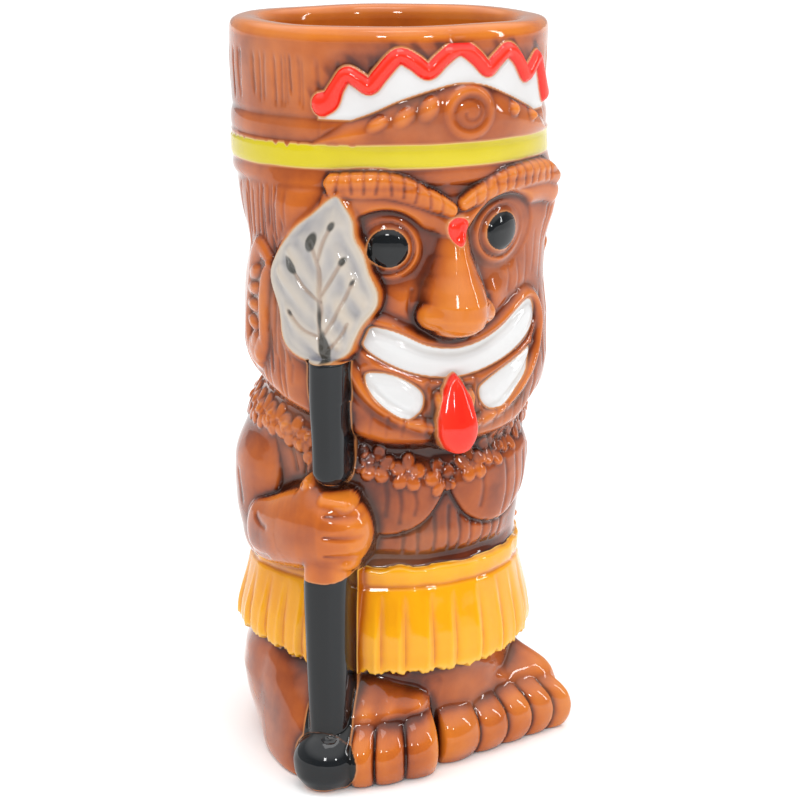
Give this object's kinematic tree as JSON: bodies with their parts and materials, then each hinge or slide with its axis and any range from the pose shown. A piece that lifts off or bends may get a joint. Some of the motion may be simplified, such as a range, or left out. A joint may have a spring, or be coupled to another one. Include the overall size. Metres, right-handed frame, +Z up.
{
  "type": "tiki mug",
  "caption": "Tall glazed ceramic tiki mug: a carved standing figure with a feather crown, wide grin, tongue out, spear, flower garland and fringed skirt round a straight hollow cup.",
  "frame": {"origin": "centre of the cup's foot ring, on the ground", "axes": "+Z up the cup's axis to the open rim; the figure's face looks along -Y; the figure's right hand, with the spear, is towards -X"},
  "size_m": [0.0849, 0.0894, 0.19],
  "materials": {
    "brown_glaze": "glossy",
    "lime_glaze": "glossy",
    "red_glaze": "glossy",
    "white_glaze": "glossy",
    "black_glaze": "glossy",
    "grey_glaze": "glossy",
    "yellow_glaze": "glossy"
  },
  "bodies": {
    "root": {"cup": "brown_glaze", "band_edge": "brown_glaze", "headband": "lime_glaze", "hat_roll": "brown_glaze", "hair_mound": "brown_glaze", "crown_zigzag": "red_glaze", "crown_panel": "white_glaze", "medallion": "brown_glaze", "hair_beads": "brown_glaze", "brow_right": "brown_glaze", "brow_left": "brown_glaze", "eye_right": "brown_glaze", "eye_left": "brown_glaze", "pupil_right": "black_glaze", "pupil_left": "black_glaze", "nose": "brown_glaze", "nose_mark": "red_glaze", "lips": "brown_glaze", "upper_teeth": "white_glaze", "lower_teeth_right": "white_glaze", "lower_teeth_left": "white_glaze", "tongue": "red_glaze", "ear_right": "brown_glaze", "ear_left": "brown_glaze", "spear_blade": "grey_glaze", "spear_shaft_upper": "black_glaze", "spear_shaft_lower": "black_glaze", "spear_butt": "black_glaze", "right_arm": "brown_glaze", "right_fist": "brown_glaze", "left_arm": "brown_glaze", "left_hand": "brown_glaze", "garland_flowers": "brown_glaze", "waistband": "yellow_glaze", "skirt": "yellow_glaze", "foot_right": "brown_glaze", "foot_left": "brown_glaze"}
  },
  "joints": []
}
